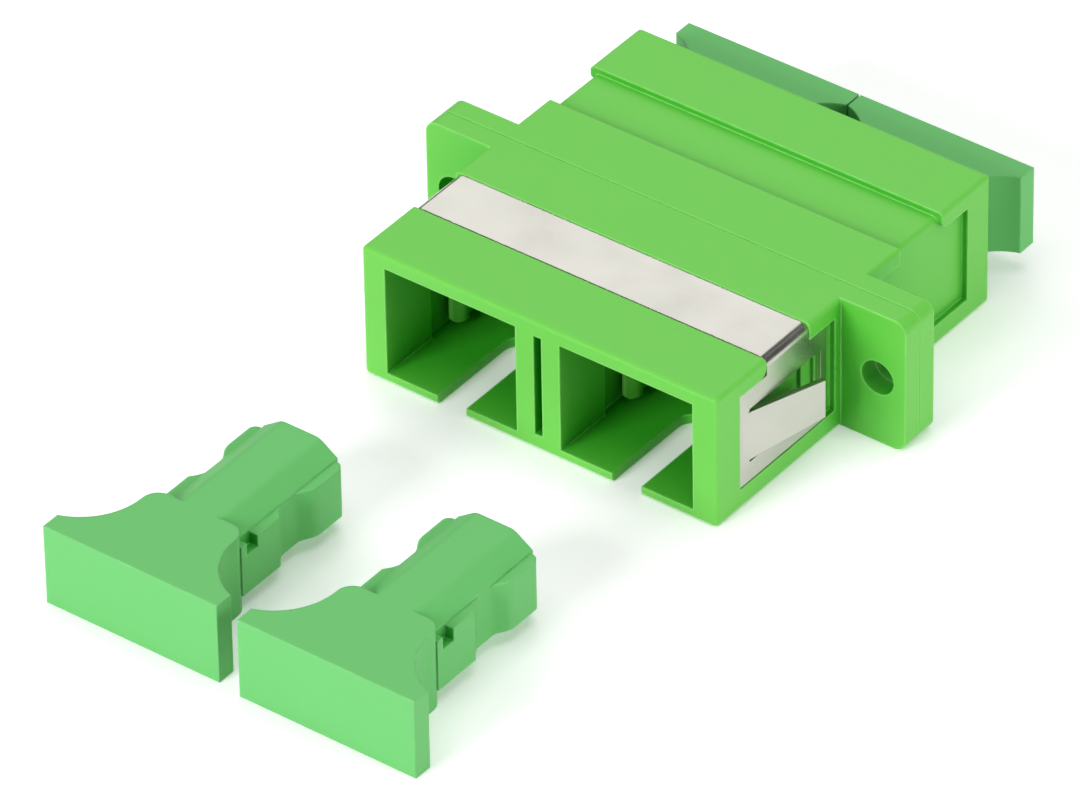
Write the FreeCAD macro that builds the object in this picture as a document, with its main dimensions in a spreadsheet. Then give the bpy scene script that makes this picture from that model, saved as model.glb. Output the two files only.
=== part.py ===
import FreeCAD, Part
import os
import Sketcher

# Duplex SC fibre adapter with a panel clip, four latch holders, two split
# sleeves and four dust caps.  Millimetres.  The origin is on the flat base,
# under the middle of the mounting flange: X runs across the two ports,
# Y runs through them from front to rear, Z is up.

os.makedirs("parts", exist_ok=True)
doc = FreeCAD.newDocument("ScAdapter")
sheet = doc.addObject("Spreadsheet::Sheet", "Sheet")

sizes = [
    # housing half
    ("body_width", 25.6),
    ("body_height", 9.2),
    ("half_length", 13.6),
    ("body_round", 0.3),
    ("port_pitch", 12.7),
    ("port_width", 9.5),
    ("port_height", 7.6),
    ("port_floor", 0.65),
    ("key_width", 2.1),
    ("key_length", 7.5),
    ("chamber_width", 10.2),
    ("chamber_front", 4.3),
    ("divider_slot_width", 0.55),
    ("divider_slot_height", 7.1),
    ("divider_slot_depth", 6.0),
    # mounting flange
    ("flange_width", 34.8),
    ("half_flange", 1.4),
    ("ear_round", 0.8),
    ("joint_edge", 0.04),
    ("screw_spacing", 30.8),
    ("screw_hole", 2.3),
    ("screw_height", 4.6),
    ("peg_offset", 13.0),
    ("peg_width", 1.0),
    ("peg_length", 0.8),
    ("peg_gap", 0.1),
    # clip seat in the housing, distances from the front face
    ("seat_depth", 0.4),
    ("strip_front", 4.9),
    ("strip_rear", 9.1),
    ("side_front", 2.3),
    ("side_rear", 11.6),
    ("side_bottom", 1.4),
    ("side_top", 8.05),
    ("seat_round", 0.6),
    ("wing_pocket_depth", 0.55),
    ("pocket_inset", 0.2),
    ("pocket_lift", 0.1),
    ("pocket_step_front", 1.4),
    ("pocket_step_rear", 1.1),
    ("pocket_step_lift", 0.7),
    # panel clip, a folded stainless sheet
    ("sheet_thickness", 0.35),
    ("clip_gap", 0.05),
    ("strip_gap", 0.12),
    ("bend_radius", 0.6),
    ("clip_rear", 10.8),
    ("window_front", 3.3),
    ("window_rear", 10.25),
    ("window_bottom", 2.8),
    ("window_top", 6.6),
    ("wing_rear", 9.1),
    ("wing_spread", 1.2),
    ("wing_height", 3.4),
    ("wing_taper", 0.8),
    ("wing_root", 0.2),
    ("wing_skew", 0.07),
    # latch holder
    ("holder_width", 10.6),
    ("holder_height", 7.7),
    ("holder_plate", 1.1),
    ("holder_gap", 0.05),
    ("barrel_width", 3.9),
    ("barrel_length", 6.1),
    ("barrel_lead", 0.2),
    ("barrel_bore", 3.3),
    ("bore_depth", 5.75),
    ("lip_bore", 2.9),
    ("arm_outer", 4.65),
    ("arm_inner", 4.05),
    ("arm_height", 6.6),
    ("hook_inner", 3.75),
    ("hook_front", 8.1),
    ("hook_rear", 6.5),
    ("hook_round", 0.5),
    ("hook_nose", 0.4),
    ("hook_slope", 0.7),
    ("arm_nose", 0.25),
    ("arm_step", 0.1),
    # split sleeve
    ("sleeve_width", 3.2),
    ("sleeve_bore", 2.5),
    ("sleeve_half", 5.7),
    ("sleeve_slot", 0.4),
    # dust cap, lengths counted from the outer face of its grip plate
    ("cap_width", 12.55),
    ("cap_height", 5.5),
    ("cap_rim", 1.3),
    ("cap_flare_end", 6.5),
    ("cap_flare_radius", 4.24),
    ("cap_flare_centre", 7.6),
    ("cap_flare_round", 1.1),
    ("cap_wall_half", 3.3),
    ("cap_wall_height", 3.5),
    ("cap_wall_end", 15.55),
    ("cap_scoop_radius", 2.2),
    ("cap_scoop_at", 11.1),
    ("cap_waist_half", 2.6),
    ("cap_notch_end", 7.5),
    ("cap_notch_depth", 0.85),
    ("cap_length", 15.76),
    ("cap_crown_half", 1.36),
    ("cap_ridge_half", 2.66),
    ("cap_shoulder", 1.85),
    ("cap_bore", 4.8),
    ("cap_bore_depth", 8.0),
    ("cap_lead", 0.2),
    ("cap_heel_round", 0.3),
    ("cap_wing_round", 1.5),
    ("cap_tip_round", 0.5),
    ("cap_crown_round", 0.9),
    ("overlap", 0.5),
    ("cap_stand_out", 4.3),
    # where the two front caps lie on the base plane
    ("plugged_cap_shift", 0.3),
    ("left_cap_x", 7.9),
    ("left_cap_y", 41.5),
    ("right_cap_x", 6.35),
    ("right_cap_y", 41.8),
]
for row, (word, value) in enumerate(sizes, start=1):
    sheet.set("A%d" % row, word)
    sheet.set("B%d" % row, str(value))
    sheet.setAlias("B%d" % row, word)
doc.recompute()


def size(text):
    """Turn words of the sheet inside a formula into sheet references."""
    for word, value in sorted(sizes, key=lambda item: -len(item[0])):
        text = text.replace(word, "Sheet.~" + "~".join(word))
    return text.replace("~", "")


def new_body(name, label):
    body = doc.addObject("PartDesign::Body", name)
    body.Label = label
    return body


def place(body, x="0", y="0", z="0", turned=False):
    """Bind the body's position; a turned body faces the other way along Y."""
    turn = FreeCAD.Rotation(FreeCAD.Vector(0, 0, 1), 180 if turned else 0)
    body.Placement = FreeCAD.Placement(FreeCAD.Vector(0, 0, 0), turn)
    body.setExpression("Placement.Base.x", size(x))
    body.setExpression("Placement.Base.y", size(y))
    body.setExpression("Placement.Base.z", size(z))


def origin_plane(body, role):
    for feature in body.Origin.OriginFeatures:
        if feature.Role == role:
            return feature
    raise ValueError(role)


def new_sketch(body, role, across="0", up="0", lift="0"):
    """An empty sketch on an origin plane; lift runs along its normal."""
    sketch = body.newObject("Sketcher::SketchObject", "Sketch")
    sketch.AttachmentSupport = (origin_plane(body, role), [""])
    sketch.MapMode = "FlatFace"
    sketch.setExpression("AttachmentOffset.Base.x", size(across))
    sketch.setExpression("AttachmentOffset.Base.y", size(up))
    sketch.setExpression("AttachmentOffset.Base.z", size(lift))
    return sketch


def bind(sketch, constraint, name, formula):
    index = sketch.addConstraint(constraint)
    sketch.renameConstraint(index, name)
    sketch.setExpression("Constraints." + name, size(formula))


def add_outline(sketch, corners):
    """Closed chain of lines through the given starting corners."""
    points = [FreeCAD.Vector(x, y, 0) for x, y in corners]
    count = len(points)
    for index in range(count):
        sketch.addGeometry(Part.LineSegment(points[index], points[(index + 1) % count]))
    for index in range(count):
        following = (index + 1) % count
        sketch.addConstraint(Sketcher.Constraint("Coincident", index, 2, following, 1))


def rectangle(body, role, width, height, across="0", up="0", lift="0"):
    """A rectangle centred on (across, up)."""
    sketch = new_sketch(body, role, across, up, lift)
    add_outline(sketch, [(-1, -1), (1, -1), (1, 1), (-1, 1)])
    sketch.addConstraint(Sketcher.Constraint("Horizontal", 0))
    sketch.addConstraint(Sketcher.Constraint("Horizontal", 2))
    sketch.addConstraint(Sketcher.Constraint("Vertical", 1))
    sketch.addConstraint(Sketcher.Constraint("Vertical", 3))
    sketch.addConstraint(Sketcher.Constraint("Symmetric", 0, 1, 2, 1, -1, 1))
    bind(sketch, Sketcher.Constraint("DistanceX", 0, 1, 0, 2, 2.0), "width", width)
    bind(sketch, Sketcher.Constraint("DistanceY", 1, 1, 1, 2, 2.0), "height", height)
    return sketch


def span(body, role, x_low, x_high, y_low, y_high, lift="0"):
    """A rectangle given by its four sides."""
    across = "((%s) + (%s)) / 2" % (x_low, x_high)
    up = "((%s) + (%s)) / 2" % (y_low, y_high)
    width = "(%s) - (%s)" % (x_high, x_low)
    height = "(%s) - (%s)" % (y_high, y_low)
    return rectangle(body, role, width, height, across, up, lift)


def circle(body, role, width, across="0", up="0", lift="0"):
    sketch = new_sketch(body, role, across, up, lift)
    middle = FreeCAD.Vector(0, 0, 0)
    sketch.addGeometry(Part.Circle(middle, FreeCAD.Vector(0, 0, 1), 1.0))
    sketch.addConstraint(Sketcher.Constraint("Coincident", 0, 3, -1, 1))
    bind(sketch, Sketcher.Constraint("Diameter", 0, 2.0), "width", width)
    return sketch


def polygon(body, role, corners, lift="0"):
    """Corners are (start x, start y, x formula, y formula), one bound point each."""
    sketch = new_sketch(body, role, lift=lift)
    add_outline(sketch, [corner[:2] for corner in corners])
    for index, (x, y, x_formula, y_formula) in enumerate(corners):
        side = Sketcher.Constraint("DistanceX", -1, 1, index, 1, x)
        bind(sketch, side, "x%d" % index, x_formula)
        rise = Sketcher.Constraint("DistanceY", -1, 1, index, 1, y)
        bind(sketch, rise, "y%d" % index, y_formula)
    return sketch


def pad(body, sketch, length, backward=False):
    feature = body.newObject("PartDesign::Pad", "Pad")
    feature.Profile = sketch
    feature.Reversed = backward
    feature.setExpression("Length", size(length))
    return feature


def pocket(body, sketch, length=None, backward=False):
    """Cuts against the sketch normal, or along it when backward is set."""
    feature = body.newObject("PartDesign::Pocket", "Pocket")
    feature.Profile = sketch
    feature.Reversed = backward
    if length is None:
        feature.Type = "ThroughAll"
    else:
        feature.setExpression("Length", size(length))
    return feature


def round_edges(body, radius, wanted):
    doc.recompute()
    base = body.Tip
    names = []
    for index, edge in enumerate(base.Shape.Edges, start=1):
        if wanted(edge):
            names.append("Edge%d" % index)
    fillet = body.newObject("PartDesign::Fillet", "Fillet")
    fillet.Base = (base, names)
    fillet.setExpression("Radius", size(radius))
    return fillet


def chamfer_edges(body, width, wanted):
    doc.recompute()
    base = body.Tip
    names = []
    for index, edge in enumerate(base.Shape.Edges, start=1):
        if wanted(edge):
            names.append("Edge%d" % index)
    chamfer = body.newObject("PartDesign::Chamfer", "Chamfer")
    chamfer.Base = (base, names)
    chamfer.setExpression("Size", size(width))
    return chamfer


def runs_along(edge, axis):
    if not isinstance(edge.Curve, Part.Line):
        return False
    direction = edge.Curve.Direction
    return abs(abs(getattr(direction, axis)) - 1) < 1e-6


def value_of(word):
    return dict(sizes)[word]


def mirror_x(body, feature):
    mirrored = body.newObject("PartDesign::Mirrored", "Mirrored")
    mirrored.Originals = [feature]
    mirrored.MirrorPlane = (origin_plane(body, "YZ_Plane"), [""])
    body.Tip = mirrored
    return mirrored


def housing_half(name, label, turned):
    """Half a housing with half a flange; only the clip side is cut for the wings."""
    body = new_body(name, label)
    middle = "body_height / 2"
    block = rectangle(body, "XZ_Plane", "body_width", "body_height", up=middle)
    pad(body, block, "half_length")
    round_edges(body, "body_round", lambda edge: edge.CenterOfMass.y < -0.01)
    flange = rectangle(body, "XZ_Plane", "flange_width", "body_height", up=middle)
    pad(body, flange, "half_flange")
    rim = value_of("flange_width") / 2 - 0.01
    round_edges(body, "ear_round",
                lambda edge: abs(edge.CenterOfMass.x) > rim and runs_along(edge, "y"))
    chamfer_edges(body, "joint_edge", lambda edge: abs(edge.CenterOfMass.y) < 0.001)

    for side in ("-", ""):
        centre = side + "port_pitch / 2"
        axis_height = "port_floor + port_height / 2"
        port = rectangle(body, "XZ_Plane", "port_width", "port_height",
                         centre, axis_height, "half_length + 1")
        pocket(body, port)
        plate = rectangle(body, "XZ_Plane", "holder_width + 2 * holder_gap",
                          "holder_height + 2 * holder_gap", centre, axis_height)
        pocket(body, plate, "holder_plate + holder_gap", backward=True)
        chamber = rectangle(body, "XZ_Plane", "chamber_width", "port_height",
                            centre, axis_height, "half_length - chamber_front")
        pocket(body, chamber)
        straight = "key_length - key_width / 2"
        key = rectangle(body, "XY_Plane", "key_width", straight + " + 1", centre,
                        "-half_length + (" + straight + ") / 2 - 0.5", "port_floor + 1")
        pocket(body, key)
        key_end = circle(body, "XY_Plane", "key_width", centre,
                         "-half_length + " + straight, "port_floor + 1")
        pocket(body, key_end)
        screw = circle(body, "XZ_Plane", "screw_hole", side + "screw_spacing / 2",
                       "screw_height", "half_length")
        pocket(body, screw)

    slit = rectangle(body, "XZ_Plane", "divider_slot_width", "divider_slot_height",
                     "0", "screw_height", "half_length")
    pocket(body, slit, "divider_slot_depth")

    # seat of the clip: a band over the top, a wider field on each side
    band = span(body, "XY_Plane", "-body_width", "body_width",
                "strip_front - half_length", "strip_rear - half_length", "body_height")
    pocket(body, band, "seat_depth")
    for side, backward in (("-", True), ("", False)):
        face = side + "body_width / 2"
        neck = span(body, "YZ_Plane", "strip_front - half_length",
                    "strip_rear - half_length", "side_top - 1", "body_height + 1", face)
        pocket(body, neck, "seat_depth", backward)
        field = span(body, "YZ_Plane", "side_front - half_length",
                     "side_rear - half_length", "side_bottom", "side_top", face)
        pocket(body, field, "seat_depth", backward)
        if turned:
            continue
        relief = span(body, "YZ_Plane", "window_front - half_length + pocket_inset",
                      "window_rear - half_length - pocket_inset",
                      "window_bottom + pocket_lift", "window_top - pocket_lift", face)
        pocket(body, relief, "seat_depth + wing_pocket_depth / 2", backward)
        deep = span(body, "YZ_Plane", "window_front - half_length + pocket_step_front",
                    "window_rear - half_length - pocket_step_rear",
                    "window_bottom + pocket_step_lift",
                    "window_top - pocket_step_lift", face)
        pocket(body, deep, "seat_depth + wing_pocket_depth", backward)
    edge_x = value_of("body_width") / 2 - value_of("seat_depth")
    edge_z = value_of("body_height") - value_of("seat_depth")

    def on_bend(edge):
        centre = edge.CenterOfMass
        near = abs(abs(centre.x) - edge_x) < 0.01 and abs(centre.z - edge_z) < 0.01
        return near and runs_along(edge, "y")

    round_edges(body, "bend_radius - sheet_thickness + clip_gap", on_bend)

    front_y = value_of("strip_front") - value_of("half_length")

    def on_seat_corner(edge):
        centre = edge.CenterOfMass
        level = abs(centre.z - value_of("side_top")) < 0.01
        return level and abs(centre.y - front_y) < 0.01 and runs_along(edge, "x")

    round_edges(body, "seat_round", on_seat_corner)

    # one peg and one socket on the joint face locate the halves
    peg = circle(body, "XZ_Plane", "peg_width", "peg_offset", "screw_height",
                 "0 - peg_length")
    pad(body, peg, "peg_length")
    socket = circle(body, "XZ_Plane", "peg_width + peg_gap", "-peg_offset",
                    "screw_height")
    pocket(body, socket, "peg_length + peg_gap", backward=True)
    place(body, turned=turned)
    return body


def panel_clip():
    """Folded stainless sheet over the front half, with a spring wing each side."""
    body = new_body("PanelClip", "Panel clip")
    outer = "body_width / 2 - clip_gap"
    inner = outer + " - sheet_thickness"
    top = "body_height - clip_gap"
    bottom = "side_bottom + clip_gap"
    front = "half_length - side_front - clip_gap"
    depth = "clip_rear - side_front - clip_gap"
    shell = span(body, "XZ_Plane", "-(" + outer + ")", outer, bottom, top,
                 "half_length - clip_rear")
    pad(body, shell, depth)
    high = value_of("body_height") - 0.1
    wide = value_of("body_width") / 2 - 0.1
    round_edges(body, "bend_radius",
                lambda edge: edge.CenterOfMass.z > high
                and abs(edge.CenterOfMass.x) > wide and runs_along(edge, "y"))
    hollow = span(body, "XZ_Plane", "-(" + inner + ")", inner, bottom + " - 1",
                  top + " - sheet_thickness", front + " + 1")
    pocket(body, hollow)
    roof = value_of("body_height") - value_of("clip_gap") - value_of("sheet_thickness")
    wall = value_of("body_width") / 2 - value_of("clip_gap") - value_of("sheet_thickness")
    round_edges(body, "bend_radius - sheet_thickness",
                lambda edge: abs(edge.CenterOfMass.z - roof) < 0.01
                and abs(abs(edge.CenterOfMass.x) - wall) < 0.01 and runs_along(edge, "y"))
    for low, far in (("side_front - 1", "strip_front + strip_gap"),
                     ("strip_rear - clip_gap", "clip_rear + 1")):
        clear = span(body, "XY_Plane", "-body_width", "body_width",
                     low + " - half_length", far + " - half_length", "body_height + 1")
        pocket(body, clear, "body_height + 1 - side_top + clip_gap")
    window = span(body, "YZ_Plane", "window_front - half_length",
                  "window_rear - half_length", "window_bottom", "window_top",
                  "body_width")
    pocket(body, window)

    # the wing leans outward from its root at the front of the window
    root = "window_front - half_length"
    tip = "wing_rear - half_length"
    wing = polygon(body, "XY_Plane", [
        (12.4, -10.5, inner, root + " - wing_root"),
        (12.7, -10.5, outer, root + " - wing_root"),
        (13.9, -4.5, outer + " + wing_spread", tip),
        (13.6, -4.4, inner + " + wing_spread", tip + " + wing_skew"),
    ], "(window_bottom + window_top - wing_height) / 2")
    leaf = pad(body, wing, "wing_height")
    mirror_x(body, leaf)
    high_edge = "(window_bottom + window_top + wing_height) / 2"
    wedge = polygon(body, "YZ_Plane", [
        (-10.2, 6.4, root + " + wing_root", high_edge),
        (-4.0, 5.6, tip + " + overlap", high_edge + " - wing_taper"),
        (-4.0, 6.6, tip + " + overlap", high_edge + " + clip_gap"),
    ], "body_width")
    pocket(body, wedge)
    return body


def latch_holder(name, label, side, turned):
    """Flange plate, half barrel for the sleeve, and two latch arms with hooks."""
    body = new_body(name, label)
    plate = rectangle(body, "XZ_Plane", "holder_width", "holder_height")
    pad(body, plate, "holder_plate")
    barrel = circle(body, "XZ_Plane", "barrel_width")
    pad(body, barrel, "barrel_length")
    far = 0.01 - value_of("barrel_length")
    chamfer_edges(body, "barrel_lead", lambda edge: edge.CenterOfMass.y < far)
    arm = polygon(body, "XY_Plane", [
        (4.6, -0.5, "arm_outer", "-holder_plate / 2"),
        (4.6, -7.7, "arm_outer", "hook_nose - hook_front"),
        (4.3, -8.1, "arm_outer - arm_nose", "-hook_front"),
        (4.1, -8.1, "arm_inner + arm_step", "-hook_front"),
        (3.6, -7.4, "hook_inner", "hook_slope - hook_front"),
        (3.6, -7.0, "hook_inner", "-hook_rear - hook_nose"),
        (4.0, -6.5, "arm_inner", "-hook_rear"),
        (4.0, -0.5, "arm_inner", "-holder_plate / 2"),
    ], "-arm_height / 2")
    leaf = pad(body, arm, "arm_height")
    mirror_x(body, leaf)
    tip = value_of("hook_nose") - value_of("hook_front") + 0.01
    high = value_of("arm_height") / 2 - 0.01

    def on_hook_end(edge):
        centre = edge.CenterOfMass
        return centre.y < tip and abs(centre.z) > high and runs_along(edge, "x")

    round_edges(body, "hook_round", on_hook_end)
    bore = circle(body, "XZ_Plane", "barrel_bore")
    pocket(body, bore, "bore_depth", backward=True)
    lip = circle(body, "XZ_Plane", "lip_bore")
    pocket(body, lip, backward=True)
    place(body, side + "port_pitch / 2", "0", "port_floor + port_height / 2", turned)
    return body


def split_sleeve(name, label, side):
    """Ceramic alignment tube, slit along its whole length."""
    body = new_body(name, label)
    tube = circle(body, "XZ_Plane", "sleeve_width", lift="-sleeve_half")
    pad(body, tube, "2 * sleeve_half")
    bore = circle(body, "XZ_Plane", "sleeve_bore", lift="sleeve_half + 1")
    pocket(body, bore)
    slot = rectangle(body, "XY_Plane", "sleeve_slot", "2 * sleeve_half + 2",
                     lift="sleeve_width")
    pocket(body, slot, "sleeve_width")
    place(body, side + "port_pitch / 2", "0", "port_floor + port_height / 2")
    return body


def dust_cap(name, label, x, y, z, turned):
    """Grip plate flaring into a hollow stem that fits over the half barrel."""
    body = new_body(name, label)
    plate = rectangle(body, "XZ_Plane", "cap_width", "cap_height")
    pad(body, plate, "cap_rim")
    flare = span(body, "XY_Plane", "-cap_width / 2", "cap_width / 2",
                 "-cap_flare_end", "-cap_rim", "-cap_height / 2")
    pad(body, flare, "cap_height")
    reach = "sqrt(cap_flare_radius ^ 2 - (cap_flare_centre - cap_width / 2) ^ 2)"
    for side in ("-", ""):
        hollow = circle(body, "XY_Plane", "2 * cap_flare_radius",
                        side + "cap_flare_centre", "-(cap_rim + " + reach + ")",
                        "cap_height")
        pocket(body, hollow)
    end = value_of("cap_flare_end")

    def on_flare_corner(edge):
        centre = edge.CenterOfMass
        return abs(centre.y + end) < 0.01 and runs_along(edge, "z")

    round_edges(body, "cap_flare_round", on_flare_corner)
    walls = span(body, "XY_Plane", "-cap_wall_half", "cap_wall_half",
                 "-cap_wall_end", "overlap - cap_flare_end", "-cap_wall_height / 2")
    pad(body, walls, "cap_wall_height")
    for side in ("-", ""):
        scoop = circle(body, "XY_Plane", "2 * cap_scoop_radius",
                       side + "(cap_waist_half + cap_scoop_radius)", "-cap_scoop_at",
                       "cap_height")
        pocket(body, scoop)
    wide = value_of("cap_wall_half") - 0.01
    bands = (("cap_heel_round", -value_of("cap_scoop_at"), -value_of("cap_flare_end") - 1),
             ("cap_wing_round", 0.1 - value_of("cap_wall_end"), -value_of("cap_scoop_at")),
             ("cap_tip_round", -value_of("cap_wall_end") - 0.1, 0.1 - value_of("cap_wall_end")))
    for radius, low, high in bands:
        def on_wave(edge, low=low, high=high):
            centre = edge.CenterOfMass
            return abs(centre.x) > wide and low < centre.y < high and runs_along(edge, "z")

        round_edges(body, radius, on_wave)
    notch = span(body, "XY_Plane", "-cap_width", "cap_width", "-cap_notch_end",
                 "-cap_flare_end", "cap_wall_height / 2 - cap_notch_depth")
    pocket(body, notch, "cap_height", backward=True)
    top = "cap_height / 2"
    corners = []
    for x_sign, z_sign, order in ((1, 1, 0), (-1, 1, 1), (-1, -1, 0), (1, -1, 1)):
        crown = (1.36 * x_sign, 2.75 * z_sign,
                 "%d * cap_crown_half" % x_sign, "%d * (%s)" % (z_sign, top))
        shoulder = (2.66 * x_sign, 1.85 * z_sign,
                    "%d * cap_ridge_half" % x_sign, "%d * cap_shoulder" % z_sign)
        corners.extend([shoulder, crown] if order == 0 else [crown, shoulder])
    ridge = polygon(body, "XZ_Plane", corners, "cap_flare_end - overlap")
    pad(body, ridge, "cap_length - cap_flare_end + overlap")
    crown_x = value_of("cap_crown_half")
    crown_z = value_of("cap_height") / 2

    def on_crown(edge):
        centre = edge.CenterOfMass
        near = abs(abs(centre.x) - crown_x) < 0.01 and abs(abs(centre.z) - crown_z) < 0.01
        return near and runs_along(edge, "y")

    round_edges(body, "cap_crown_round", on_crown)
    bore = circle(body, "XZ_Plane", "cap_bore", lift="cap_length")
    pocket(body, bore, "cap_bore_depth")
    mouth = 0.01 - value_of("cap_length")
    bore_radius = value_of("cap_bore") / 2

    def on_mouth(edge):
        if not isinstance(edge.Curve, Part.Circle) or edge.CenterOfMass.y > mouth:
            return False
        return abs(edge.Curve.Radius - bore_radius) < 0.01

    chamfer_edges(body, "cap_lead", on_mouth)
    place(body, x, y, z, turned)
    return body


housing_half("HousingFront", "Housing half, front", False)
housing_half("HousingRear", "Housing half, rear", True)
panel_clip()
latch_holder("HolderFrontLeft", "Latch holder, front left", "-", False)
latch_holder("HolderFrontRight", "Latch holder, front right", "", False)
latch_holder("HolderRearLeft", "Latch holder, rear left", "-", True)
latch_holder("HolderRearRight", "Latch holder, rear right", "", True)
split_sleeve("SleeveLeft", "Split sleeve, left", "-")
split_sleeve("SleeveRight", "Split sleeve, right", "")
axis_z = "port_floor + port_height / 2"
lying_z = "cap_height / 2"
plugged_y = "half_length + cap_stand_out"
dust_cap("CapFrontLeft", "Dust cap, front left", "-left_cap_x", "-left_cap_y",
         lying_z, True)
dust_cap("CapFrontRight", "Dust cap, front right", "right_cap_x", "-right_cap_y",
         lying_z, True)
dust_cap("CapRearLeft", "Dust cap, rear left", "plugged_cap_shift - port_pitch / 2",
         plugged_y, axis_z, False)
dust_cap("CapRearRight", "Dust cap, rear right", "plugged_cap_shift + port_pitch / 2",
         plugged_y, axis_z, False)
doc.recompute()

nodes = {
    "HousingFront": "housing_front",
    "HousingRear": "housing_rear",
    "PanelClip": "panel_clip",
    "HolderFrontLeft": "latch_holder_front_left",
    "HolderFrontRight": "latch_holder_front_right",
    "HolderRearLeft": "latch_holder_rear_left",
    "HolderRearRight": "latch_holder_rear_right",
    "SleeveLeft": "split_sleeve_left",
    "SleeveRight": "split_sleeve_right",
    "CapFrontLeft": "dust_cap_front_left",
    "CapFrontRight": "dust_cap_front_right",
    "CapRearLeft": "dust_cap_rear_left",
    "CapRearRight": "dust_cap_rear_right",
}
for item in doc.Objects:
    if "Invalid" in item.State or "Error" in item.State:
        raise RuntimeError("%s is not sound: %s" % (item.Name, item.State))
for name, node in nodes.items():
    body = doc.getObject(name)
    shape = body.Shape
    if shape.isNull() or not shape.isValid() or len(shape.Solids) != 1:
        raise RuntimeError("%s has no single sound solid" % name)
    shape.exportStep("parts/%s.step" % node)
    box = shape.BoundBox
    print("%-26s volume %8.2f  x %.2f..%.2f  y %.2f..%.2f  z %.2f..%.2f"
          % (node, shape.Volume, box.XMin, box.XMax, box.YMin, box.YMax,
             box.ZMin, box.ZMax))
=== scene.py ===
import math

import bpy
from mathutils import Matrix, Vector


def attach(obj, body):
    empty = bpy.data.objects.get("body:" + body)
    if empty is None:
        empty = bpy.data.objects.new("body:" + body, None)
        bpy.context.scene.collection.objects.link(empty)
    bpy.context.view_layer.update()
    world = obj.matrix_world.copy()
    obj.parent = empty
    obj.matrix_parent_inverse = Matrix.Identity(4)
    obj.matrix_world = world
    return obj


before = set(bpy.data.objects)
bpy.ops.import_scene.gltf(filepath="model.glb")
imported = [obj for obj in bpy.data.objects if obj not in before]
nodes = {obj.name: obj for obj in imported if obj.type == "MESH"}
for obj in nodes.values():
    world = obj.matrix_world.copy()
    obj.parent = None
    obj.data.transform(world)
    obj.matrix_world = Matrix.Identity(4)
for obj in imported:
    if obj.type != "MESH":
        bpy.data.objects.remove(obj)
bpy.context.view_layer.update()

mm = 0.001
print("frame loaded:", len(nodes), "nodes")


def addNode(tree, kind, **settings):
    node = tree.nodes.new(kind)
    for name, value in settings.items():
        setattr(node, name, value)
    return node


def mathNode(tree, operation, first, second, clamp=False):
    node = addNode(tree, "ShaderNodeMath", operation=operation, use_clamp=clamp)
    for socket, value in zip(node.inputs, (first, second)):
        if isinstance(value, float):
            socket.default_value = value
        else:
            tree.links.new(value, socket)
    return node.outputs[0]


def addSockets(tree, direction, sockets):
    # sockets is a dictionary of name: kind.
    for label, kind in sockets.items():
        tree.interface.new_socket(name=label, in_out=direction, socket_type="NodeSocket" + kind)


def newGroup(name, inputs, outputs):
    # Every input is a number; outputs is a dictionary of name: kind.
    group = bpy.data.node_groups.new(name, "ShaderNodeTree")
    addSockets(group, "INPUT", dict.fromkeys(inputs, "Float"))
    addSockets(group, "OUTPUT", outputs)
    return group, addNode(group, "NodeGroupInput"), addNode(group, "NodeGroupOutput")


def addNoise(tree, coords, scale, detail):
    noise = addNode(tree, "ShaderNodeTexNoise")
    noise.inputs["Detail"].default_value = detail
    tree.links.new(coords, noise.inputs["Vector"])
    if isinstance(scale, float):
        noise.inputs["Scale"].default_value = scale
    else:
        tree.links.new(scale, noise.inputs["Scale"])
    return noise.outputs["Fac"]


def objectCoords(tree):
    return addNode(tree, "ShaderNodeTexCoord").outputs["Object"]


def addMix(tree, factor, first, second):
    # A colour mix from first, at 0, to second, at 1; a plain colour is three numbers.
    mix = addNode(tree, "ShaderNodeMix", data_type="RGBA")
    tree.links.new(factor, mix.inputs["Factor"])
    for label, value in (("A", first), ("B", second)):
        if isinstance(value, tuple):
            mix.inputs[label].default_value = (*value, 1.0)
        else:
            tree.links.new(value, mix.inputs[label])
    return mix.outputs["Result"]


effectSettings = {
    "bumpHeight": 0.01 * mm, "bevelSamples": 6, "grainDetail": 3.0,
    "cloudScale": 160.0, "cloudDetail": 4.0, "cloudMiddle": 0.5,
    "highlightAndWearGain": 4.0, "highlightAndWearScale": 900.0, "highlightAndWearDetail": 2.0, "highlightAndWearLeast": 0.35,
    "pocketShadeSamples": 8,
}


def buildMouldGrain():
    # Fine spark-eroded grain over rounded edges, with a slow drift in brightness and
    # roughness.
    group, inside, outside = newGroup(
        "mouldGrain",
        ("Grain Size", "Depth", "Drift", "Rough Low", "Rough High", "Edge Round"),
        {"Value Shift": "Float", "Roughness": "Float", "Normal": "Vector"})
    link = group.links.new
    coords = objectCoords(group)
    grain = addNoise(group, coords, inside.outputs["Grain Size"], effectSettings["grainDetail"])
    clouds = addNoise(group, coords, effectSettings["cloudScale"],
                      effectSettings["cloudDetail"])
    bump = addNode(group, "ShaderNodeBump")
    bump.inputs["Distance"].default_value = effectSettings["bumpHeight"]
    link(inside.outputs["Depth"], bump.inputs["Strength"])
    link(grain, bump.inputs["Height"])
    eased = addNode(group, "ShaderNodeBevel", samples=effectSettings["bevelSamples"])
    link(inside.outputs["Edge Round"], eased.inputs["Radius"])
    link(eased.outputs["Normal"], bump.inputs["Normal"])
    centred = mathNode(group, "SUBTRACT", clouds, effectSettings["cloudMiddle"])
    shift = mathNode(group, "MULTIPLY", centred, inside.outputs["Drift"])
    link(mathNode(group, "ADD", shift, 1.0), outside.inputs["Value Shift"])
    spread = addNode(group, "ShaderNodeMapRange")
    link(clouds, spread.inputs["Value"])
    link(inside.outputs["Rough Low"], spread.inputs["To Min"])
    link(inside.outputs["Rough High"], spread.inputs["To Max"])
    link(spread.outputs["Result"], outside.inputs["Roughness"])
    link(bump.outputs["Normal"], outside.inputs["Normal"])
    return group


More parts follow.
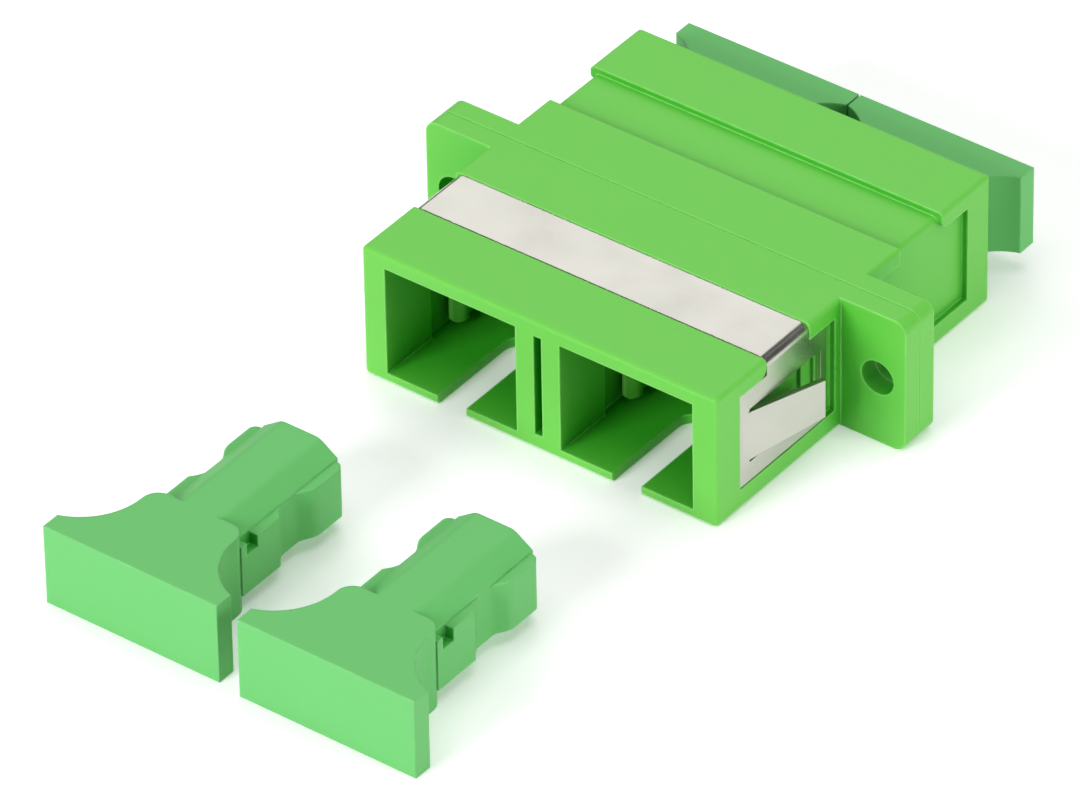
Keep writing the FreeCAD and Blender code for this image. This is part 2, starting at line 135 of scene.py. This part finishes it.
def buildEdgeHighlightAndWear():
    # Painted highlight, broken up by noise like wear: a mask that is 1 along edges and 0
    # elsewhere.
    group, inside, outside = newGroup("edgeHighlightAndWear", ("Reach", "Amount"), {"Mask": "Float"})
    link = group.links.new
    rounded = addNode(group, "ShaderNodeBevel", samples=effectSettings["bevelSamples"])
    link(inside.outputs["Reach"], rounded.inputs["Radius"])
    flat = addNode(group, "ShaderNodeNewGeometry").outputs["Normal"]
    bend = addNode(group, "ShaderNodeVectorMath", operation="DOT_PRODUCT")
    link(rounded.outputs["Normal"], bend.inputs[0])
    link(flat, bend.inputs[1])
    turned = mathNode(group, "SUBTRACT", 1.0, bend.outputs["Value"])
    ramp = mathNode(group, "MULTIPLY", turned, effectSettings["highlightAndWearGain"], clamp=True)
    patchy = addNoise(group, objectCoords(group), effectSettings["highlightAndWearScale"],
                      effectSettings["highlightAndWearDetail"])
    broken = mathNode(group, "ADD", patchy, effectSettings["highlightAndWearLeast"], clamp=True)
    litAndWornMask = mathNode(group, "MULTIPLY", ramp, broken)
    link(mathNode(group, "MULTIPLY", litAndWornMask, inside.outputs["Amount"]), outside.inputs["Mask"])
    return group


def buildPocketShadeMask():
    # Painted shade: a mask that rises in crevices and deep pockets, where shade falls, so the
    # colour darkens there.
    group, inside, outside = newGroup("pocketShadeMask", ("Reach", "Amount"), {"Mask": "Float"})
    link = group.links.new
    openness = addNode(group, "ShaderNodeAmbientOcclusion",
                       samples=effectSettings["pocketShadeSamples"], only_local=True)
    link(inside.outputs["Reach"], openness.inputs["Distance"])
    closed = mathNode(group, "SUBTRACT", 1.0, openness.outputs["AO"])
    mask = mathNode(group, "MULTIPLY", closed, inside.outputs["Amount"], clamp=True)
    link(mask, outside.inputs["Mask"])
    return group


mouldGrain = buildMouldGrain()
edgeHighlightAndWear = buildEdgeHighlightAndWear()
pocketShadeMask = buildPocketShadeMask()
print("shared effects built")


def newMaterial(name):
    material = bpy.data.materials.new(name)
    material.use_nodes = True
    tree = material.node_tree
    shader = tree.nodes["Principled BSDF"]
    return material, tree, shader


def placeGroup(tree, group, values):
    node = addNode(tree, "ShaderNodeGroup", node_tree=group)
    for name, value in values.items():
        node.inputs[name].default_value = value
    return node


def grainedSurface(tree, shader, look):
    # Gives the shader its grain; returns the look's colour, drifting in brightness.
    grain = placeGroup(tree, mouldGrain, {
        "Grain Size": look["grainSize"], "Depth": look["grainDepth"],
        "Drift": look["drift"], "Rough Low": look["roughLow"],
        "Rough High": look["roughHigh"], "Edge Round": look["edgeRound"]})
    tree.links.new(grain.outputs["Roughness"], shader.inputs["Roughness"])
    tree.links.new(grain.outputs["Normal"], shader.inputs["Normal"])
    tint = addNode(tree, "ShaderNodeHueSaturation")
    tint.inputs["Color"].default_value = (*look["colour"], 1.0)
    tree.links.new(grain.outputs["Value Shift"], tint.inputs["Value"])
    return tint.outputs["Color"]


def mouldedPlastic(name, look):
    # Self-coloured moulded plastic, with painted shade in pockets and a painted highlight,
    # broken up like wear, on edges.
    material, tree, shader = newMaterial(name)
    colour = grainedSurface(tree, shader, look)
    pocketShade = placeGroup(tree, pocketShadeMask, {
        "Reach": look["pocketShadeReach"], "Amount": look["pocketShade"]})
    highlightAndWear = placeGroup(tree, edgeHighlightAndWear, {"Reach": look["highlightAndWearReach"], "Amount": look["highlightAndWear"]})
    # painted shade: the colour darkens towards a deeper green in crevices and pockets
    pocketShaded = addMix(tree, pocketShade.outputs["Mask"], colour, look["pocketShadeColour"])
    # painted highlight along edges, broken up like wear: the colour turns paler there
    highlightedAndWorn = addMix(tree, highlightAndWear.outputs["Mask"], pocketShaded, look["highlightAndWearColour"])
    tree.links.new(highlightedAndWorn, shader.inputs["Base Color"])
    shader.inputs["Specular IOR Level"].default_value = look["specular"]
    return material


def rolledSteel(name, look):
    # Bright rolled stainless sheet with fine lines along X and a few dull patches.
    material, tree, shader = newMaterial(name)
    link = tree.links.new
    coords = objectCoords(tree)
    stretch = addNode(tree, "ShaderNodeMapping")
    stretch.inputs["Scale"].default_value = look["lineStretch"]
    link(coords, stretch.inputs["Vector"])
    lines = addNoise(tree, stretch.outputs["Vector"], look["lineScale"], look["lineDetail"])
    patches = addNoise(tree, coords, look["patchScale"], look["patchDetail"])
    dull = addNode(tree, "ShaderNodeMapRange")
    link(patches, dull.inputs["Value"])
    dull.inputs["From Min"].default_value = look["patchLow"]
    dull.inputs["From Max"].default_value = look["patchHigh"]
    dull.inputs["To Min"].default_value = look["roughLow"]
    dull.inputs["To Max"].default_value = look["roughHigh"]
    link(dull.outputs["Result"], shader.inputs["Roughness"])
    spots = mathNode(tree, "MULTIPLY", patches, look["patchAmount"])
    tone = addMix(tree, spots, look["colour"], look["dullColour"])
    link(tone, shader.inputs["Base Color"])
    bump = addNode(tree, "ShaderNodeBump")
    bump.inputs["Strength"].default_value = look["lineDepth"]
    bump.inputs["Distance"].default_value = effectSettings["bumpHeight"]
    link(lines, bump.inputs["Height"])
    eased = addNode(tree, "ShaderNodeBevel", samples=effectSettings["bevelSamples"])
    eased.inputs["Radius"].default_value = look["edgeRound"]
    link(eased.outputs["Normal"], bump.inputs["Normal"])
    link(bump.outputs["Normal"], shader.inputs["Normal"])
    shader.inputs["Metallic"].default_value = 1.0
    return material


def firedCeramic(name, look):
    # Polished white ceramic with a faint drift in brightness.
    material, tree, shader = newMaterial(name)
    tree.links.new(grainedSurface(tree, shader, look), shader.inputs["Base Color"])
    shader.inputs["Coat Weight"].default_value = look["coat"]
    return material


housingLook = {
    # the edge colour is a painted highlight along edges, broken up like wear
    "colour": (0.138, 0.550, 0.065), "highlightAndWearColour": (0.300, 0.860, 0.190),
    # the deep colour, with its strength and reach, is painted shade in pockets
    "pocketShadeColour": (0.008, 0.380, 0.003), "pocketShade": 1.25, "pocketShadeReach": 9.0 * mm,
    "grainSize": 2600.0, "grainDepth": 0.2, "drift": 0.03,
    "roughLow": 0.34, "roughHigh": 0.44, "highlightAndWear": 1.0, "highlightAndWearReach": 0.22 * mm,
    "edgeRound": 0.16 * mm, "specular": 0.3,
}
holderLook = dict(housingLook, colour=(0.120, 0.460, 0.060), highlightAndWear=0.3, roughLow=0.4)
capLook = {
    # the edge colour is a painted highlight along edges, broken up like wear
    "colour": (0.130, 0.490, 0.135), "highlightAndWearColour": (0.290, 0.800, 0.300),
    # the deep colour, with its strength and reach, is painted shade in pockets
    "pocketShadeColour": (0.012, 0.330, 0.014), "pocketShade": 1.5, "pocketShadeReach": 5.0 * mm,
    "grainSize": 1900.0, "grainDepth": 0.3, "drift": 0.04,
    "roughLow": 0.46, "roughHigh": 0.56, "highlightAndWear": 0.8, "highlightAndWearReach": 0.22 * mm,
    "edgeRound": 0.22 * mm, "specular": 0.3,
}
steelLook = {
    "colour": (0.58, 0.57, 0.52), "dullColour": (0.46, 0.45, 0.40),
    "lineStretch": (0.08, 1.0, 0.5), "lineScale": 9000.0, "lineDetail": 4.0,
    "lineDepth": 0.18, "patchScale": 260.0, "patchDetail": 5.0, "patchAmount": 0.5,
    "patchLow": 0.35, "patchHigh": 0.75, "roughLow": 0.18, "roughHigh": 0.32,
    "edgeRound": 0.05 * mm,
}
ceramicLook = {
    "colour": (0.80, 0.79, 0.74), "grainSize": 5000.0, "grainDepth": 0.05, "drift": 0.08,
    "roughLow": 0.12, "roughHigh": 0.22, "edgeRound": 0.03 * mm, "coat": 0.3,
}

# by the first word of a node's name
finishes = {
    "housing": mouldedPlastic("housingPlastic", housingLook),
    "latch": mouldedPlastic("holderPlastic", holderLook),
    "dust": mouldedPlastic("capPlastic", capLook),
    "panel": rolledSteel("clipSteel", steelLook),
    "split": firedCeramic("sleeveCeramic", ceramicLook),
}
print("materials built:", len(finishes))


shadeSettings = {
    "mergeDistance": 0.0005 * mm, "sharpAngle": math.radians(40.0),
    "flatAngle": math.radians(0.5), "faceWeight": 80,
}


def buildSmoother():
    # Smooth faces with every edge over the given angle kept sharp.
    tree = bpy.data.node_groups.new("smoothByAngle", "GeometryNodeTree")
    addSockets(tree, "INPUT", {"Geometry": "Geometry", "Angle": "Float"})
    addSockets(tree, "OUTPUT", {"Geometry": "Geometry"})
    tree.interface.items_tree["Angle"].default_value = shadeSettings["sharpAngle"]
    start = addNode(tree, "NodeGroupInput")
    end = addNode(tree, "NodeGroupOutput")
    faces = addNode(tree, "GeometryNodeSetShadeSmooth", domain="FACE")
    edges = addNode(tree, "GeometryNodeSetShadeSmooth", domain="EDGE")
    edges.inputs["Shade Smooth"].default_value = False
    bend = addNode(tree, "GeometryNodeInputMeshEdgeAngle")
    steep = addNode(tree, "FunctionNodeCompare", data_type="FLOAT", operation="GREATER_THAN")
    tree.links.new(bend.outputs["Unsigned Angle"], steep.inputs["A"])
    tree.links.new(start.outputs["Angle"], steep.inputs["B"])
    tree.links.new(start.outputs["Geometry"], faces.inputs["Geometry"])
    tree.links.new(faces.outputs["Geometry"], edges.inputs["Geometry"])
    tree.links.new(steep.outputs["Result"], edges.inputs["Selection"])
    tree.links.new(edges.outputs["Geometry"], end.inputs["Geometry"])
    return tree


smoother = buildSmoother()


def easeShading(piece):
    # One skin of flat faces, so that the shading follows the true surfaces.
    weld = piece.modifiers.new("weld", "WELD")
    weld.merge_threshold = shadeSettings["mergeDistance"]
    flatten = piece.modifiers.new("flatFaces", "DECIMATE")
    flatten.decimate_type = "DISSOLVE"
    flatten.angle_limit = shadeSettings["flatAngle"]
    smooth = piece.modifiers.new("smooth", "NODES")
    smooth.node_group = smoother
    weighted = piece.modifiers.new("faceNormals", "WEIGHTED_NORMAL")
    weighted.mode = "FACE_AREA"
    weighted.weight = shadeSettings["faceWeight"]
    weighted.keep_sharp = True


for name, piece in nodes.items():
    finish = finishes[name.split("_")[0]]
    for materialSlot in piece.material_slots:
        materialSlot.material = finish
    easeShading(piece)
print("solids finished")


# front and rear are the strip's two edges in Y, reach is half their length in X
chipSettings = {
    "front": -8.58 * mm, "rear": -4.55 * mm, "reach": 12.1 * mm, "height": 9.145 * mm,
    "spacing": 0.14 * mm, "share": 0.5,
    "smallest": 0.020 * mm, "largest": 0.065 * mm, "seed": 11,
}


def buildEdgeChips():
    # Burrs of uneven size and turn, laid along every line of the path.
    tree = bpy.data.node_groups.new("edgeChips", "GeometryNodeTree")
    addSockets(tree, "INPUT", {
        "Geometry": "Geometry", "Spacing": "Float", "Share": "Float", "Smallest": "Float",
        "Largest": "Float", "Seed": "Int", "Material": "Material"})
    addSockets(tree, "OUTPUT", {"Geometry": "Geometry"})
    link = tree.links.new
    start = addNode(tree, "NodeGroupInput").outputs
    end = addNode(tree, "NodeGroupOutput")
    curve = addNode(tree, "GeometryNodeMeshToCurve")
    points = addNode(tree, "GeometryNodeCurveToPoints", mode="LENGTH")
    link(start["Geometry"], curve.inputs["Mesh"])
    link(curve.outputs["Curve"], points.inputs["Curve"])
    link(start["Spacing"], points.inputs["Length"])
    chip = addNode(tree, "GeometryNodeMeshIcoSphere")
    chip.inputs["Radius"].default_value = 1.0
    chip.inputs["Subdivisions"].default_value = 1
    kept = addNode(tree, "FunctionNodeRandomValue", data_type="BOOLEAN")
    link(start["Share"], kept.inputs["Probability"])
    link(start["Seed"], kept.inputs["Seed"])
    size = addNode(tree, "FunctionNodeRandomValue", data_type="FLOAT_VECTOR")
    link(start["Smallest"], size.inputs["Min"])
    link(start["Largest"], size.inputs["Max"])
    link(start["Seed"], size.inputs["Seed"])
    turn = addNode(tree, "FunctionNodeRandomValue", data_type="FLOAT_VECTOR")
    turn.inputs["Max"].default_value = (math.pi, math.pi, math.pi)
    link(start["Seed"], turn.inputs["Seed"])
    placed = addNode(tree, "GeometryNodeInstanceOnPoints")
    link(points.outputs["Points"], placed.inputs["Points"])
    link(kept.outputs["Value"], placed.inputs["Selection"])
    link(chip.outputs["Mesh"], placed.inputs["Instance"])
    link(turn.outputs["Value"], placed.inputs["Rotation"])
    link(size.outputs["Value"], placed.inputs["Scale"])
    real = addNode(tree, "GeometryNodeRealizeInstances")
    link(placed.outputs["Instances"], real.inputs["Geometry"])
    finish = addNode(tree, "GeometryNodeSetMaterial")
    link(real.outputs["Geometry"], finish.inputs["Geometry"])
    link(start["Material"], finish.inputs["Material"])
    link(finish.outputs["Geometry"], end.inputs["Geometry"])
    return tree


def grownMesh(name, path, tree, values):
    # Runs the tree once on the path and keeps the result as a plain mesh.
    piece = bpy.data.objects.new(name, path)
    bpy.context.collection.objects.link(piece)
    grower = piece.modifiers.new("grower", "NODES")
    grower.node_group = tree
    for socket in tree.interface.items_tree:
        if socket.in_out == "INPUT" and socket.name in values:
            grower[socket.identifier] = values[socket.name]
    piece.update_tag()
    seen = piece.evaluated_get(bpy.context.evaluated_depsgraph_get())
    made = bpy.data.meshes.new_from_object(seen)
    piece.modifiers.remove(grower)
    piece.data = made
    made.name = name
    return piece


def makeBurrs():
    reach = chipSettings["reach"]
    path = bpy.data.meshes.new("shearedEdges")
    ends = [(side * reach, chipSettings[line], chipSettings["height"])
            for line in ("front", "rear") for side in (-1, 1)]
    path.from_pydata(ends, [(0, 1), (2, 3)], [])
    burrs = grownMesh("shearBurrs", path, buildEdgeChips(), {
        "Spacing": chipSettings["spacing"], "Share": chipSettings["share"],
        "Smallest": chipSettings["smallest"], "Largest": chipSettings["largest"],
        "Seed": chipSettings["seed"], "Material": finishes["panel"]})
    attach(burrs, "adapter")
    print("burrs grown:", len(burrs.data.polygons), "faces")


makeBurrs()


white = (1.0, 1.0, 1.0, 1.0)
stageSettings = {
    "floorSize": 6.0, "floorColour": (0.95, 0.95, 0.95, 1.0), "floorGlow": 0.2,
    "floorRough": 0.6, "floorSpecular": 0.2, "floorDrop": 0.01 * mm, "world": 0.05,
}
cameraSettings = {
    "aim": (-3.7 * mm, -8.5 * mm, -1.3 * mm), "azimuth": 37.60, "elevation": 37.19,
    "roll": -1.05, "distance": 652.7 * mm, "lens": 371.3,
    "shift": (-0.0012, -0.0008), "nearest": 0.01, "farthest": 20.0,
}

# azimuth (0 = in front, 90 = right) and elevation in degrees, distance and size in
# metres, watts
panels = {
    "overhead": (0.0, 88.0, 0.60, 0.55, 2.0),
    "front": (-12.0, 23.0, 0.60, 0.26, 2.85),
    "right": (97.0, 20.0, 0.60, 0.26, 1.45),
    "stripGlow": (-142.0, 37.0, 0.55, 0.36, 0.56),
    "rearGlow": (168.0, 24.0, 0.60, 0.36, 0.36),
    "leftGlow": (-92.0, 24.0, 0.60, 0.36, 0.25),
    "cornerGlow": (46.0, 16.0, 0.60, 0.36, 0.18),
}


def makeFloor():
    half = stageSettings["floorSize"] / 2
    mesh = bpy.data.meshes.new("floor")
    level = -stageSettings["floorDrop"]
    corners = [(x * half, y * half, level) for x, y in ((-1, -1), (1, -1), (1, 1), (-1, 1))]
    mesh.from_pydata(corners, [], [(0, 1, 2, 3)])
    floor = bpy.data.objects.new("floor", mesh)
    bpy.context.collection.objects.link(floor)
    material, _, shader = newMaterial("paleFloor")
    shader.inputs["Base Color"].default_value = stageSettings["floorColour"]
    shader.inputs["Roughness"].default_value = stageSettings["floorRough"]
    shader.inputs["Specular IOR Level"].default_value = stageSettings["floorSpecular"]
    shader.inputs["Emission Color"].default_value = white
    shader.inputs["Emission Strength"].default_value = stageSettings["floorGlow"]
    mesh.materials.append(material)


def directionOf(azimuth, elevation):
    turn = math.radians(azimuth)
    rise = math.radians(elevation)
    return Vector((math.sin(turn) * math.cos(rise), -math.cos(turn) * math.cos(rise),
                   math.sin(rise)))


def makeLights():
    world = bpy.data.worlds.new("studio")
    world.use_nodes = True
    bpy.context.scene.world = world
    background = world.node_tree.nodes["Background"]
    background.inputs["Color"].default_value = white
    background.inputs["Strength"].default_value = stageSettings["world"]
    for name, (azimuth, elevation, distance, size, watts) in panels.items():
        data = bpy.data.lights.new(name, "AREA")
        data.energy = watts
        data.size = size
        panel = bpy.data.objects.new(name, data)
        away = directionOf(azimuth, elevation)
        panel.location = Vector(cameraSettings["aim"]) + away * distance
        panel.rotation_mode = "QUATERNION"
        panel.rotation_quaternion = (-away).to_track_quat("-Z", "Y")
        bpy.context.collection.objects.link(panel)


def makeCamera():
    back = directionOf(cameraSettings["azimuth"], cameraSettings["elevation"])
    data = bpy.data.cameras.new("camera")
    data.lens = cameraSettings["lens"]
    data.shift_x, data.shift_y = cameraSettings["shift"]
    data.clip_start = cameraSettings["nearest"]
    data.clip_end = cameraSettings["farthest"]
    camera = bpy.data.objects.new("camera", data)
    place = Vector(cameraSettings["aim"]) + back * cameraSettings["distance"]
    facing = (-back).to_track_quat("-Z", "Y").to_matrix().to_4x4()
    roll = Matrix.Rotation(math.radians(cameraSettings["roll"]), 4, "Z")
    camera.matrix_world = Matrix.Translation(place) @ facing @ roll
    bpy.context.collection.objects.link(camera)
    bpy.context.scene.camera = camera


makeFloor()
makeLights()
makeCamera()
bpy.context.scene.view_settings.view_transform = "Standard"
print("stage, light and camera set")
